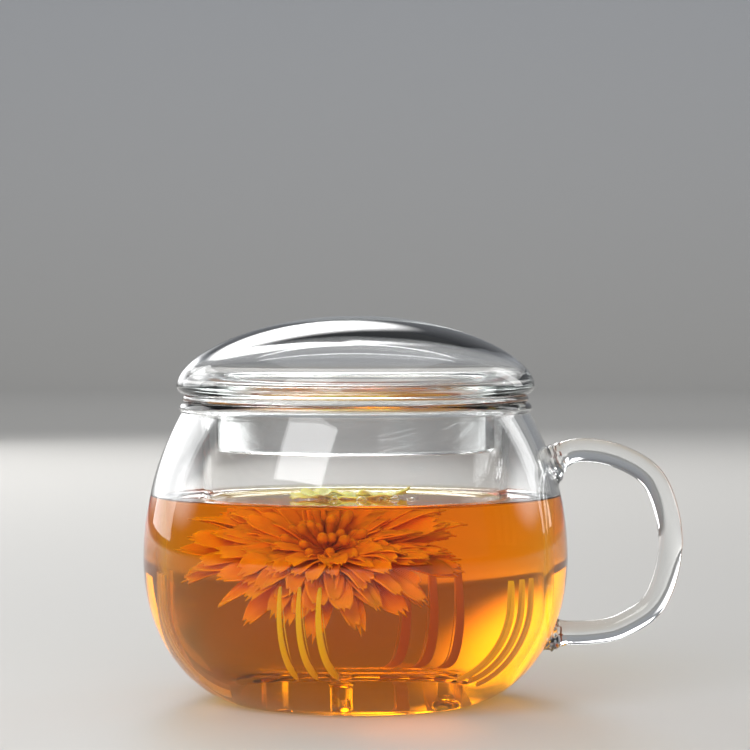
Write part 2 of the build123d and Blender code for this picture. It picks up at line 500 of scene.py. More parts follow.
@dataclass(frozen=True)
class Petal:
    """A soaked petal: soft, slightly see-through, veined along its length, darker towards its root."""

    name: str
    root: str
    blade: str
    tip: str
    full_width: float = 5.0 * MM  # of the widest petals, which the map's U runs over
    vein_pitch: float = 0.31416 * MM  # on the widest petals, and closer on the others
    vein_height: float = 0.06 * MM
    blotch_size: float = 4 * MM
    blotch_share: float = 0.6
    glow_depth: float = 1.6 * MM  # how far light spreads under the skin

    def material(self) -> bpy.types.Material:
        """The petal as a node material, over its own map.

        Returns:
            The material.
        """
        material, tree, output = new_material(self.name)
        chart = add_node(tree, "UVMap", uv_map=PETAL_CHART).outputs["UV"]
        split = add_node(tree, "SeparateXYZ", {"Vector": chart})
        along = ramp(tree, split.outputs["Y"], ((0.0, self.root), (0.55, self.blade), (1.0, self.tip)))
        place = add_node(tree, "TexCoord").outputs["Object"]
        blotch = add_node(tree, "TexNoise", {
            "Vector": place, "Scale": 1 / self.blotch_size, "Detail": 3.0,
        })
        shade = ramp(tree, blotch.outputs["Fac"], ((0.3, "#d9cfc0"), (0.7, "#ffffff")))
        mixed = add_node(
            tree, "Mix", {0: self.blotch_share, 6: along, 7: shade},
            data_type="RGBA", blend_type="MULTIPLY",
        )
        veins = add_node(tree, "TexWave", {
            "Vector": chart, "Scale": FULL_TURN / WAVE_TURN * self.full_width / self.vein_pitch,
            "Distortion": 1.2, "Detail": 1.0,
        }, bands_direction="X")
        bump = add_node(tree, "Bump", {
            "Height": veins.outputs["Fac"], "Distance": self.vein_height, "Strength": 1.0,
        })
        shader = add_node(tree, "BsdfPrincipled", {
            "Base Color": mixed.outputs[2], "Roughness": 0.55, "Normal": bump.outputs["Normal"],
            "Subsurface Weight": 0.6, "Subsurface Radius": (1.0, 0.55, 0.15),
            "Subsurface Scale": self.glow_depth,
        })
        tree.links.new(shader.outputs["BSDF"], output.inputs["Surface"])
        return material


# --- The mug ------------------------------------------------------------------------------------


@dataclass
class MugBowl:
    """The blown bowl: a flat base with a shallow punt, a round belly and a fire-polished rim."""

    belly_radius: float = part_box("mug_bowl")[1].y
    rim_height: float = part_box("mug_bowl")[1].z
    belly_height: float = 33.5 * MM
    base_radius: float = 30.0 * MM
    base_rounding: float = 0.9 * MM
    base_edge: float = 0.6 * MM
    belly_start: float = 0.12 * MM  # the height from which the belly's curve takes over
    punt_depth: float = 0.5 * MM
    neck_radius: float = 41.3 * MM
    rim_bead_height: float = 2.3 * MM
    rim_bead_swell: float = 0.5 * MM
    wall: float = 2.0 * MM
    floor: float = 3.0 * MM
    seat_clearance: float = 0.02 * MM
    belly_steps: int = 28
    shoulder_steps: int = 24
    segments: int = 128

    @property
    def neck_height(self) -> float:
        """Where the rim's bead starts."""
        return self.rim_height - self.rim_bead_height

    @property
    def shoulder_radius(self) -> float:
        """The radius of the arc from belly to neck."""
        across = self.belly_radius - self.neck_radius
        up = self.neck_height - self.belly_height
        return (across**2 + up**2) / (2 * across)

    def shoulder(self, height: float, inset: float = 0.0) -> float:
        """The radius of the shoulder at a height.

        Args:
            height: the height above the table.
            inset: how far inside the outer surface.

        Returns:
            The distance from the axis.
        """
        centre = self.belly_radius - self.shoulder_radius
        reach = self.shoulder_radius - inset
        return centre + math.sqrt(reach**2 - (height - self.belly_height) ** 2)

    def foot(self, height: float) -> float:
        """The outside radius below the belly.

        Args:
            height: the height above the table.

        Returns:
            The distance from the axis.
        """
        drop = self.belly_height + self.base_rounding
        base_share = math.sqrt(1 - (self.belly_height / drop) ** 2)
        reach = (self.belly_radius - self.base_radius) / (1 - base_share)
        share = (self.belly_height - height) / drop
        return self.belly_radius - reach * (1 - math.sqrt(1 - share**2))

    def outside(self, height: float) -> float:
        """The outside radius at a height."""
        return self.shoulder(height) if height > self.belly_height else self.foot(height)

    def outer_line(self) -> list[Point]:
        """The outline from the middle of the base up to the neck.

        Returns:
            The points, none of them below the table.
        """
        edge = self.base_radius - 3 * self.base_edge
        base = smooth_line(
            [(0, self.punt_depth), (edge * 0.55, self.punt_depth * 0.8), (edge, 0.02 * MM),
             (self.base_radius - self.base_edge, 0.0)], 10)
        turns = [math.pi / 2 * i / self.belly_steps for i in range(1, self.belly_steps + 1)]
        low = [max(self.belly_height * (1 - math.cos(turn)), self.belly_start) for turn in turns]
        climb = self.neck_height - self.belly_height
        steps = self.shoulder_steps
        high = [self.belly_height + climb * i / steps for i in range(1, steps + 1)]
        return [
            *((p.x, max(p.y, 0.0)) for p in base), *((self.foot(z), z) for z in low),
            *((self.shoulder(z), z) for z in high),
        ]

    def rim_line(self) -> list[Point]:
        """The round bead of the rim.

        Returns:
            The points, from outside to inside.
        """
        inner = self.shoulder(self.neck_height, self.wall)
        outer = self.neck_radius + self.rim_bead_swell
        top = self.rim_height - self.seat_clearance
        middle = (outer + inner) / 2
        bead = smooth_line([
            (self.neck_radius, self.neck_height),
            (outer, self.neck_height + self.rim_bead_height * 0.48),
            (middle + 0.30 * (outer - inner), top - 0.12 * MM),
            (middle, top),
            (middle - 0.30 * (outer - inner), top - 0.25 * MM),
            (inner + 0.05 * MM, self.neck_height + self.rim_bead_height * 0.35),
            (inner, self.neck_height),
        ], 6)
        return [(p.x, p.y) for p in bead]

    def inner_line(self, wall: float, floor: float, top: float) -> list[Point]:
        """The outline of the hollow, from a height down to the middle of the floor.

        Args:
            wall: the wall's thickness.
            floor: the base's thickness.
            top: the height that it starts from.

        Returns:
            The points, from top to bottom.
        """
        drop = top - self.belly_height
        steps = self.shoulder_steps
        high = [(self.shoulder(z, wall), z) for z in (top - drop * i / steps for i in range(steps + 1))]
        flat = self.base_radius - wall
        reach = self.belly_radius - wall - flat
        low = arc((flat, self.belly_height), (reach, self.belly_height - floor), 0, -90, 32)
        return [*high, *low[1:], (flat * 0.6, floor), (0, floor)]

    def is_hollow_side(self, face: bmesh.types.BMFace) -> bool:
        """Whether a face below the neck is on the inside of the bowl.

        Args:
            face: one of the bowl's faces.

        Returns:
            True for the inside.
        """
        middle = face.calc_center_median()
        if middle.z > self.neck_height:
            return False
        return middle.z > self.floor / 2 and middle.xy.length < self.outside(middle.z) - self.wall / 2

    def build(self, glass: bpy.types.Material) -> bpy.types.Object:
        """Blows the bowl.

        Args:
            glass: its material.

        Returns:
            The bowl.
        """
        mesh = bmesh.new()
        inner = self.inner_line(self.wall, self.floor, self.neck_height)
        spun(mesh, [*self.outer_line(), *self.rim_line()[1:], *inner[1:]], self.segments)
        marked(mesh, HOLLOW_SIDE, self.is_hollow_side)
        bowl = finished("mug_bowl_blown", mesh)
        bowl.data.materials.append(glass)
        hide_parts("mug_bowl")
        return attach(bowl, Body.MUG.value)


@dataclass(frozen=True)
class Gob:
    """The soft end of the rod, pressed onto the bowl and wrinkled by it."""

    swell: float
    length: float
    sag: float
    wrinkle: float = 0.26 * MM
    wrinkle_pitch: float = 1.25 * MM
    waver: float = 1.6
    lobes: int = 3

    def fade(self, distance: float) -> float:
        """How much of the swelling is left at a distance from the wall, from 1 to 0."""
        return math.exp(-((distance / self.length) ** 2))

    def growth(self, distance: float, around: float) -> float:
        """How far a point stands out from the plain rod.

        Args:
            distance: its distance from the wall, along the rod.
            around: its direction from the rod's middle, in radians.

        Returns:
            The height over the rod's own surface.
        """
        phase = FULL_TURN * distance / self.wrinkle_pitch + self.waver * math.sin(self.lobes * around)
        crease = self.wrinkle * math.cos(phase) * math.exp(-((distance / (1.6 * self.length)) ** 2))
        return self.swell * self.fade(distance) + crease


@dataclass
class Handle:
    """The bent glass rod, whose ends swell into the gobs that fuse it to the bowl."""

    bowl: MugBowl
    rod_radius: float = 2.9 * MM
    reach: float = 24.5 * MM
    crest_drop: float = 11.3 * MM
    sole: float = 15.5 * MM
    rise: float = 2.3 * MM
    squareness: float = 2.5
    guides: tuple[float, ...] = (85, 62, 34, 0, -34, -62, -80)
    sunk: float = 0.55  # share of the bowl's wall that the rod's ends reach into
    seat_depth: float = 0.25 * MM  # of the end rings under the bowl's surface
    upper_gob: Gob = Gob(swell=1.9 * MM, length=2.3 * MM, sag=1.9 * MM)
    lower_gob: Gob = Gob(swell=1.2 * MM, length=1.9 * MM, sag=0.2 * MM)
    sides: int = 64

    def line(self) -> list[Vector]:
        """The rod's centreline.

        Returns:
            The points, from inside the wall at the top to inside the wall at the bottom.
        """
        crest = self.bowl.rim_height - self.crest_drop
        middle, half = (crest + self.sole) / 2, (crest - self.sole) / 2
        power = 2 / self.squareness
        root = crest - self.rise
        sunk = self.bowl.wall * self.sunk
        points = [(self.bowl.outside(root) - sunk, 0, root)]
        for turn in self.guides:
            across, up = math.cos(math.radians(turn)), math.sin(math.radians(turn))
            climb = math.copysign(abs(up) ** power, up)
            points.append((self.bowl.belly_radius + self.reach * across**power, 0, middle + half * climb))
        points.append((self.bowl.outside(self.sole) - sunk, 0, self.sole))
        return smooth_line(points, 18)

    def ring(
        self, mesh: bmesh.types.BMesh, at: Vector, ahead: Vector, gob: Gob, distance: float
    ) -> list[bmesh.types.BMVert]:
        """Adds one ring of the rod's skin.

        Args:
            mesh: where it goes.
            at: the ring's middle.
            ahead: the rod's direction there.
            gob: the gob at the nearer end.
            distance: how far along the rod the wall is.

        Returns:
            The ring's vertices.
        """
        side = Vector((0, 1, 0))
        turned = Matrix((side, ahead.cross(side), ahead)).transposed().to_4x4()
        made = bmesh.ops.create_circle(
            mesh, segments=self.sides, radius=self.rod_radius, matrix=Matrix.Translation(at) @ turned,
        )
        drop = Vector((0, 0, -gob.sag * gob.fade(distance)))
        for vert in made["verts"]:
            out = vert.co - at
            around = math.atan2(out.y, out.z)
            vert.co += drop + out.normalized() * gob.growth(distance, around)
        return made["verts"]

    def build(self, glass: bpy.types.Material) -> bpy.types.Object:
        """Bends the rod and fuses it on.

        Args:
            glass: its material.

        Returns:
            The handle.
        """
        line = self.line()
        travelled = [0.0]
        for a, b in zip(line, line[1:]):
            travelled.append(travelled[-1] + (b - a).length)
        mesh = bmesh.new()
        rings = []
        for i, at in enumerate(line):
            ahead = (line[min(i + 1, len(line) - 1)] - line[max(i - 1, 0)]).normalized()
            left = travelled[-1] - travelled[i]
            gob = self.upper_gob if travelled[i] < left else self.lower_gob
            distance = min(travelled[i], left) - self.bowl.wall * self.sunk
            rings.append(self.ring(mesh, at, ahead, gob, distance))
        self.seat(rings[0])
        self.seat(rings[-1])
        for low, high in zip(rings, rings[1:]):
            loops = [e for v in (*low, *high) for e in v.link_edges]
            between = {e for e in loops if set(e.verts) <= set(low) or set(e.verts) <= set(high)}
            bmesh.ops.bridge_loops(mesh, edges=list(between))
        ends = [e for e in mesh.edges if len(e.link_faces) == 1]
        bmesh.ops.holes_fill(mesh, edges=ends)
        bmesh.ops.recalc_face_normals(mesh, faces=mesh.faces)
        handle = finished("handle_bent_rod", mesh)
        handle.data.materials.append(glass)
        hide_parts("handle_rod", "upper_handle_weld", "lower_handle_weld")
        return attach(handle, Body.MUG.value)

    def seat(self, ring: Iterable[bmesh.types.BMVert]) -> None:
        """Lays an end ring on the bowl, just inside its outer surface.

        Args:
            ring: the ring's vertices.
        """
        for vert in ring:
            depth = self.bowl.outside(vert.co.z) - self.seat_depth
            vert.co.x = math.sqrt(max(depth**2 - vert.co.y**2, 0.0))


# --- The infuser --------------------------------------------------------------------------------


@dataclass
class Infuser:
    """The drawn glass tube that hangs in the mug: flange, rounded floor, four groups of slits, feet."""

    bowl: MugBowl
    wall: float = 1.7 * MM
    floor_height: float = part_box("infuser_body")[0].z
    top_radius: float = 36.78 * MM
    taper: float = 1.7 * MM
    corner_radius: float = 14.0 * MM
    flange_radius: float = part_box("infuser_body")[1].y
    flange_top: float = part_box("infuser_body")[1].z
    flange_clearance: float = 0.02 * MM
    neck_fillet: float = 0.7 * MM  # from the wall out to the flange
    mouth_fillet: float = 1.0 * MM  # from the flange in to the wall
    wall_steps: int = 14
    slit_groups: int = 4
    slits_per_group: int = 3
    slit_pitch: float = 4.3 * MM
    slit_climb: float = 15.5 * MM
    slit_start_angle: float = 7.0
    slit_group_angle: float = -109.0
    slit_run_out: float = 1.5 * MM  # of the slit's top on the outside, past its top on the inside
    slit_width: float = 2.0 * MM  # on the outside of the wall, at the slit's middle
    slit_throat: float = 0.4 * MM  # on the inside
    slit_clearance: float = 0.2 * MM  # of the cutter past the wall, on both sides
    slit_point: float = 0.5  # how fast the slit widens from its ends: 1 is slow, 0 at once
    slit_steps: int = 40
    foot_radius: float = 2.4 * MM
    foot_sink: float = 0.2 * MM
    foot_flare: float = 1.0 * MM  # the height over which it spreads to the floor
    foot_segments: int = 48
    segments: int = 160

    @property
    def corner_start(self) -> float:
        """The outside radius where the wall meets the floor's rounding."""
        return self.top_radius - self.taper

    @property
    def flat_radius(self) -> float:
        """The radius of the flat middle of the floor."""
        return self.corner_start - self.corner_radius

    @property
    def corner_height(self) -> float:
        """The height of the floor's rounding."""
        return self.floor_height + self.corner_radius

    def outside(self, height: float) -> float:
        """The outside radius of the straight wall at a height."""
        share = (height - self.corner_height) / (self.bowl.rim_height - self.corner_height)
        return self.corner_start + self.taper * share

    def outline(self) -> list[Point]:
        """The tube's section.

        Returns:
            The points, from the middle of the floor's underside, over the flange, to its top side.
        """
        under = self.bowl.rim_height
        top = self.flange_top - self.flange_clearance
        inside = self.top_radius - self.wall
        bead = (top - under) / 2
        bend, roll = self.neck_fillet, self.mouth_fillet
        neck = arc((self.top_radius + bend, under - bend), (bend, bend), 180, -90, 6)
        lip = arc((self.flange_radius - bead, under + bead), (bead, bead), -90, 180, 16)
        mouth = arc((inside + roll, top - roll), (roll, roll), 90, 90, 8)
        corner = (self.flat_radius, self.corner_height)
        outer = arc(corner, (self.corner_radius, self.corner_radius), -90, 90, 24)
        inner_radius = self.corner_radius - self.wall
        inner = arc(corner, (inner_radius, inner_radius), 0, -90, 24)
        outer_wall = between(outer[-1], neck[0], self.wall_steps)
        inner_wall = between(mouth[-1], inner[0], self.wall_steps)
        floor_top = self.floor_height + self.wall
        return [
            (0, self.floor_height), (self.flat_radius * 0.6, self.floor_height), *outer, *outer_wall,
            *neck, *lip, *mouth, *inner_wall, *inner, (self.flat_radius * 0.6, floor_top), (0, floor_top),
        ]

    def slit_line(self, along: float) -> tuple[Vector, Vector]:
        """A place on the tube's section that a slit runs over.

        Args:
            along: how far up the slit, from 0 to 1.

        Returns:
            The place on the outer surface, as radius and height, and the outward direction there.
        """
        start = math.radians(self.slit_start_angle)
        bend = self.corner_radius * (math.pi / 2 - start)
        rise = self.wall + self.slit_climb + self.slit_run_out - self.corner_radius
        distance = along * (bend + rise)
        if distance > bend:
            height = self.corner_height + distance - bend
            return Vector((self.outside(height), height)), Vector((1, 0))
        turn = start + distance / self.corner_radius
        out = Vector((math.sin(turn), -math.cos(turn)))
        return Vector((self.flat_radius, self.corner_height)) + self.corner_radius * out, out

    def slit_cutter(self, offset: float) -> bmesh.types.BMesh:
        """The blade that cuts one slit: wide outside, narrow inside and pointed at both ends.

        Args:
            offset: how far the slit is from the middle of its group.

        Returns:
            The blade, for a group that faces +X.
        """
        blade = bmesh.new()
        bmesh.ops.create_grid(blade, x_segments=1, y_segments=self.slit_steps, size=1.0)
        grown = bmesh.ops.extrude_face_region(blade, geom=blade.faces[:])
        inner = {item for item in grown["geom"] if isinstance(item, bmesh.types.BMVert)}
        flare = (self.slit_width - self.slit_throat) / self.wall
        for vert in blade.verts:
            side, along = vert.co.x, (vert.co.y + 1) / 2
            share = max(math.sin(math.pi * along), 0.01) ** self.slit_point
            depth = self.wall + self.slit_clearance if vert in inner else -self.slit_clearance
            width = max(self.slit_width - flare * depth, self.slit_throat / 2)
            at, out = self.slit_line(along)
            at -= out * depth
            radius = math.sqrt(at.x**2 - offset**2)
            vert.co = (radius, offset + side * share * width / 2, at.y)
        bmesh.ops.recalc_face_normals(blade, faces=blade.faces)
        if blade.calc_volume(signed=True) < 0:
            bmesh.ops.reverse_faces(blade, faces=blade.faces)
        return blade

    def cutters(self) -> bpy.types.Object:
        """The blades of every slit.

        Returns:
            The blades, as one object.
        """
        middle = (self.slits_per_group - 1) / 2
        mesh = bmesh.new()
        for group in range(self.slit_groups):
            around = math.radians(self.slit_group_angle) + FULL_TURN * group / self.slit_groups
            for slit in range(self.slits_per_group):
                blade = self.slit_cutter((slit - middle) * self.slit_pitch)
                bmesh.ops.rotate(blade, verts=blade.verts, matrix=Matrix.Rotation(around, 3, "Z"))
                joined(mesh, blade)
        return finished("slit_cutters", mesh)

    def build(self, glass: bpy.types.Material, ground: bpy.types.Material) -> bpy.types.Object:
        """Draws the tube and cuts its slits.

        Args:
            glass: the clear glass.
            ground: the matt walls of the slits.

        Returns:
            The infuser.
        """
        mesh = bmesh.new()
        spun(mesh, self.outline(), self.segments)
        infuser = finished("infuser_slotted", mesh)
        infuser.data.materials.append(glass)
        cutters = self.cutters()
        cutters.data.materials.append(ground)
        cut = infuser.modifiers.new("slits", "BOOLEAN")
        cut.object = cutters
        cut.operation = "DIFFERENCE"
        cut.solver = "EXACT"
        cut.material_mode = "TRANSFER"
        applied(infuser)
        infuser.data.set_sharp_from_angle(angle=math.radians(40))
        bpy.data.objects.remove(cutters)
        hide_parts("infuser_body")
        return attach(infuser, Body.INFUSER.value)

    def foot(self, node: str, glass: bpy.types.Material) -> bpy.types.Object:
        """Fuses one peg under the floor.

        Args:
            node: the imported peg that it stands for.
            glass: its material.

        Returns:
            The peg.
        """
        low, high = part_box(node)
        middle = (low + high) / 2
        flare = (high.x - low.x) / 2
        radius = self.foot_radius
        line = [
            *arc((0, low.z + radius), (radius, radius), -90, 90, 12),
            (radius * 0.93, low.z + (high.z - low.z) * 0.5),
            *arc((flare, high.z - self.foot_flare), (flare - radius * 0.95, self.foot_flare), 180, -90, 8),
            (flare, high.z + self.foot_sink), (0, high.z + self.foot_sink),
        ]
        mesh = bmesh.new()
        spun(mesh, line, self.foot_segments)
        bmesh.ops.translate(mesh, verts=mesh.verts, vec=(middle.x, middle.y, 0))
        peg = finished(node.replace("foot", "peg"), mesh)
        peg.data.materials.append(glass)
        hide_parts(node)
        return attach(peg, Body.INFUSER.value)


# --- The lid ------------------------------------------------------------------------------------


@dataclass
class Lid:
    """The blown lid: a hollow dome folded under at its edge and drawn down into a locating ring."""

    radius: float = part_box("lid_cap")[1].y
    underside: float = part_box("lid_cap")[0].z
    top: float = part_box("lid_cap")[1].z
    wall: float = 2.2 * MM
    edge: float = 2.1 * MM
    edge_fullness: float = 0.40
    crown_fullness: float = 0.57
    ring_radius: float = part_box("lid_ring")[1].y
    ring_bottom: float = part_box("lid_ring")[0].z
    ring_wall: float = 2.0 * MM
    fillet: float = 0.9 * MM
    seat_clearance: float = 0.03 * MM
    seal_depth: float = 0.22 * MM
    seal_radius: float = 2.6 * MM
    segments: int = 128

    def dome(self, radius: float, foot: float, top: float) -> list[Point]:
        """The curve of the dome.

        Args:
            radius: its radius at the edge.
            foot: the height that it starts from.
            top: the height of its middle.

        Returns:
            The points, from the edge to the axis.
        """
        rise = top - foot
        points = (
            (radius, foot), (radius, foot + rise * self.edge_fullness),
            (radius * self.crown_fullness, top), (0, top),
        )
        line = bezier(points, 44)
        return [(r, z - self.seal_depth * math.exp(-((r / self.seal_radius) ** 2))) for r, z in line]

    def outline(self) -> list[Point]:
        """The lid's section.

        Returns:
            The points, from the dome's top, under the edge and round the ring, to the dome's inside.
        """
        under = self.underside + self.seat_clearance
        inner_ring = self.ring_radius - self.ring_wall
        half = self.ring_wall / 2
        plate = self.underside + self.wall
        fold = self.edge - self.wall / 2
        bend = self.fillet
        edge_at = (self.radius - self.edge, self.underside + self.edge)
        dome = self.dome(self.radius, edge_at[1], self.top)
        edge = arc(edge_at, (self.edge, self.edge - self.seat_clearance), 0, -90, 12)
        cove = arc((self.ring_radius + bend, under - bend), (bend, bend), 90, 90, 8)
        lip = arc((self.ring_radius - half, self.ring_bottom + half), (half, half), 0, -180, 16)
        shoulder = arc((inner_ring + bend, plate - bend), (bend, bend), 180, -90, 8)
        fold_at = (self.radius - self.wall - fold, plate + fold)
        crease = arc(fold_at, (fold, fold), -90, 90, 10)
        vault = self.dome(self.radius - self.wall, fold_at[1], self.top - self.wall)
        return [*reversed(dome), *edge[1:], *cove, *lip, *shoulder, *crease, *vault[1:]]

    def build(self, glass: bpy.types.Material) -> bpy.types.Object:
        """Blows the lid.

        Args:
            glass: its material.

        Returns:
            The lid.
        """
        mesh = bmesh.new()
        spun(mesh, self.outline(), self.segments)
        lid = finished("lid_blown", mesh)
        lid.data.materials.append(glass)
        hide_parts("lid_cap", "lid_ring")
        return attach(lid, Body.LID.value)


# --- What is in the mug -------------------------------------------------------------------------


@dataclass
class Tea:
    """The tea: it fills the bowl to its level and creeps up the glass that it touches."""

    bowl: MugBowl
    infuser: Infuser
    level: float = 47.4 * MM
    creep: float = 1.1 * MM
    creep_width: float = 1.3 * MM
    inner_creep: float = 0.6 * MM
    inner_creep_width: float = 0.8 * MM
    overlap: float = 0.15 * MM  # into the glass, so that no film of air lies between them
    segments: int = 128

    @property
    def line(self) -> float:
        """The height that the tea wets the bowl up to."""
        return self.level + self.creep

    def surface(self, edge: float) -> list[Point]:
        """The free surface, from its edge on the bowl to the axis.

        Args:
            edge: the radius of its edge.

        Returns:
            The points, without the edge itself.
        """
        outer = self.infuser.outside(self.level)
        inner = outer - self.infuser.wall
        steps = [0.15, 0.35, 0.6, 0.9, 1.3, 1.8, 2.5, 3.5, 5.0]
        radii = [edge - step * MM for step in steps if edge - step * MM > outer + 2 * MM]
        radii += [outer + step * MM for step in reversed(steps[:7])]
        radii += [outer, inner]
        radii += [inner - step * MM for step in steps]
        radii += [inner * share for share in (0.75, 0.6, 0.45, 0.3, 0.15, 0.0)]
        made = []
        for radius in radii:
            height = self.level + self.creep * math.exp(-(edge - radius) / self.creep_width)
            off = max(radius - outer, inner - radius, 0.0)
            height += self.inner_creep * math.exp(-off / self.inner_creep_width)
            made.append((radius, height))
        return made

    def build(self, liquid: bpy.types.Material) -> bpy.types.Object:
        """Pours the tea.

        Args:
            liquid: its material.

        Returns:
            The tea.
        """
        wall = self.bowl.wall - self.overlap
        side = self.bowl.inner_line(wall, self.bowl.floor - self.overlap, self.line)
        mesh = bmesh.new()
        spun(mesh, [*reversed(side), *self.surface(side[0][0])], self.segments)
        marked(mesh, FREE_SURFACE, lambda face: face.normal.z > 0.5)
        tea = finished("tea", mesh, crease=60)
        tea.data.materials.append(liquid)
        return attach(tea, Body.MUG.value)


@dataclass
class Froth:
    """The few bubbles that gather over the flower, each a thin dome of tea."""

    level: float
    count: int = 30
    centre: Point = (1.0 * MM, -1.0 * MM)
    spread: Point = (13.0 * MM, 5.0 * MM)
    smallest: float = 0.35 * MM
    largest: float = 1.25 * MM
    film: float = 0.06 * MM
    clearance: float = 0.02 * MM  # of their edges over the tea's level
    seed: int = 21

    def build(self, film: bpy.types.Material) -> bpy.types.Object:
        """Blows the bubbles.

        Args:
            film: their material.

        Returns:
            The bubbles, as one piece.
        """
        chance = random.Random(self.seed)
        mesh = bmesh.new()
        taken: list[tuple[Vector, float]] = []
        while len(taken) < self.count:
            radius = self.smallest + (self.largest - self.smallest) * chance.random() ** 2.5
            across, turn = math.sqrt(chance.random()), chance.uniform(0, FULL_TURN)
            at = Vector((self.centre[0] + self.spread[0] * across * math.cos(turn),
                         self.centre[1] + self.spread[1] * across * math.sin(turn)))
            if any((at - other).length < radius + size for other, size in taken):
                continue
            taken.append((at, radius))
            inner = radius - self.film
            part = bmesh.new()
            under = arc((0, 0), (inner, inner * 0.8), 90, -90, 6)
            over = arc((0, 0), (radius, radius * 0.85), 0, 90, 6)
            spun(part, [*under, *over], 16)
            bmesh.ops.translate(part, verts=part.verts, vec=(at.x, at.y, self.level + self.clearance))
            joined(mesh, part)
        froth = finished("froth", mesh, crease=70)
        froth.data.materials.append(film)
        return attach(froth, Body.MUG.value)


@dataclass(frozen=True)
class Whorl:
    """One ring of petals."""

    count: int
    length: float
    width: float
    lift: float  # degrees that they rise from the flower's plane
    droop: float  # degrees that they bend down again by their tips
    root_radius: float


@dataclass
class Flower:
    """The opened flower: whorls of toothed strap petals round a head of small tubular florets."""

    centre: tuple[float, float, float] = (-5.2 * MM, -5.0 * MM, 35.2 * MM)
    tilt: float = 27.0
    turn: float = 12.0
    seed: int = 7
    whorls: tuple[Whorl, ...] = (
        Whorl(38, 24.0 * MM, 5.0 * MM, 6, 22, 2.5 * MM),
        Whorl(36, 22.4 * MM, 4.8 * MM, 14, 22, 2.3 * MM),
        Whorl(32, 19.8 * MM, 4.5 * MM, 22, 24, 2.1 * MM),
        Whorl(28, 16.8 * MM, 4.0 * MM, 31, 26, 1.9 * MM),
        Whorl(21, 13.2 * MM, 3.5 * MM, 38, 30, 1.7 * MM),
        Whorl(13, 9.4 * MM, 3.0 * MM, 42, 34, 1.6 * MM),
    )
    loose_whorl: Whorl = Whorl(1, 8.0 * MM, 4.6 * MM, 10, 14, 0.0)
    loose_count: int = 15
    loose_centre: tuple[float, float, float] = (-1.5 * MM, 2.0 * MM, 47.6 * MM)
    loose_spread: Point = (9.5 * MM, 5.0 * MM)
    floret_count: int = 30
    floret_length: float = 8.0 * MM
    floret_lean: float = 74.0  # degrees that the outermost lean outwards
    petal_thickness: float = 0.28 * MM
    roof: float = 47.0 * MM  # the petals flatten out under the tea's surface
    roof_softness: float = 2.5 * MM
    petal_rows: int = 16
    petal_columns: int = 8
    teeth: int = 3  # at a petal's tip
    stalk_radius: float = 0.55 * MM  # of a floret
    stalk_start: float = 0.8 * MM  # of a floret, from the flower's middle
    chance: random.Random = field(default_factory=random.Random)

    def stand(self) -> Matrix:
        """Where the flower sits.

        Returns:
            The placing: tipped forward about its own middle.
        """
        lean = Matrix.Rotation(math.radians(self.tilt), 4, "X")
        spin = Matrix.Rotation(math.radians(self.turn), 4, "Z")
        return Matrix.Translation(self.centre) @ lean @ spin

    def settle(self, mesh: bmesh.types.BMesh) -> None:
        """Stands the flower in its place and flattens what would rise out of the tea.

        Args:
            mesh: the petals or florets, as they grew about the origin.
        """
        bmesh.ops.transform(mesh, verts=mesh.verts, matrix=self.stand())
        start = self.roof - self.roof_softness
        for vert in mesh.verts:
            if vert.co.z > start:
                rise = (vert.co.z - start) / self.roof_softness
                vert.co.z = start + self.roof_softness * (1 - math.exp(-rise))

    def petal(self, mesh: bmesh.types.BMesh, whorl: Whorl, around: float) -> None:
        """Grows one petal.

        Args:
            mesh: where it goes.
            whorl: the ring that it belongs to.
            around: its direction from the middle, in radians.
        """
        vary = self.chance.uniform
        length = whorl.length * vary(0.86, 1.08)
        width = whorl.width * vary(0.85, 1.12)
        lift = math.radians(whorl.lift + vary(-7, 7))
        droop = math.radians(whorl.droop * vary(0.5, 1.5))
        twist = math.radians(vary(-28, 28))
        sway = math.radians(vary(-9, 9))
        cup = vary(0.12, 0.30)
        tooth_depth = vary(0.06, 0.13)
        ruffle, ruffle_phase = vary(0.2, 0.7) * MM, vary(0, FULL_TURN)
        made = bmesh.ops.create_grid(
            mesh, x_segments=self.petal_columns, y_segments=self.petal_rows, size=1.0)
        chart = mesh.loops.layers.uv[PETAL_CHART]
        place = Matrix.Rotation(around, 4, "Z")
        spots = {}
        for vert in made["verts"]:
            u, v = vert.co.x, (vert.co.y + 1) / 2
            spots[vert] = (u / 2 + 0.5, v)
            notch = tooth_depth * (1 - math.cos(self.teeth * math.pi * u)) / 2 + 0.05 * u * u
            t = v * (1 - notch * v**4)
            broad = (0.30 + 0.70 * math.sin(math.pi * min(0.12 + 0.62 * t, 1.0))) * (1 - 0.42 * t**7)
            across = u * width / 2 * broad
            bend = lift - droop * t
            along = whorl.root_radius + length * t * math.cos((lift + bend) / 2)
            height = length * t * math.sin((lift + bend) / 2)
            height += cup * width * u * u * broad * 0.5
            height += ruffle * t * t * math.sin(3.2 * math.pi * t + ruffle_phase + 1.4 * u)
            turned = twist * t
            side = across * math.cos(turned) + length * math.sin(sway) * t * t
            vert.co = place @ Vector((along, side, height + across * math.sin(turned)))
        for face in {f for vert in made["verts"] for f in vert.link_faces}:
            for corner in face.loops:
                corner[chart].uv = spots[corner.vert]

    def build_petals(self, finish: bpy.types.Material) -> bpy.types.Object:
        """Grows every whorl of petals.

        Args:
            finish: the petals' material.

        Returns:
            The petals, as one piece.
        """
        self.chance.seed(self.seed)
        mesh = bmesh.new()
        mesh.loops.layers.uv.new(PETAL_CHART)
        for number, whorl in enumerate(self.whorls):
            for i in range(whorl.count):
                jitter = self.chance.uniform(-0.25, 0.25)
                around = FULL_TURN * (i + jitter + 0.37 * number) / whorl.count
                self.petal(mesh, whorl, around)
        self.settle(mesh)
        petals = finished("flower_petals", mesh)
        petals.data.materials.append(finish)
        thickened(petals, self.petal_thickness)
        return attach(petals, Body.INFUSER.value)

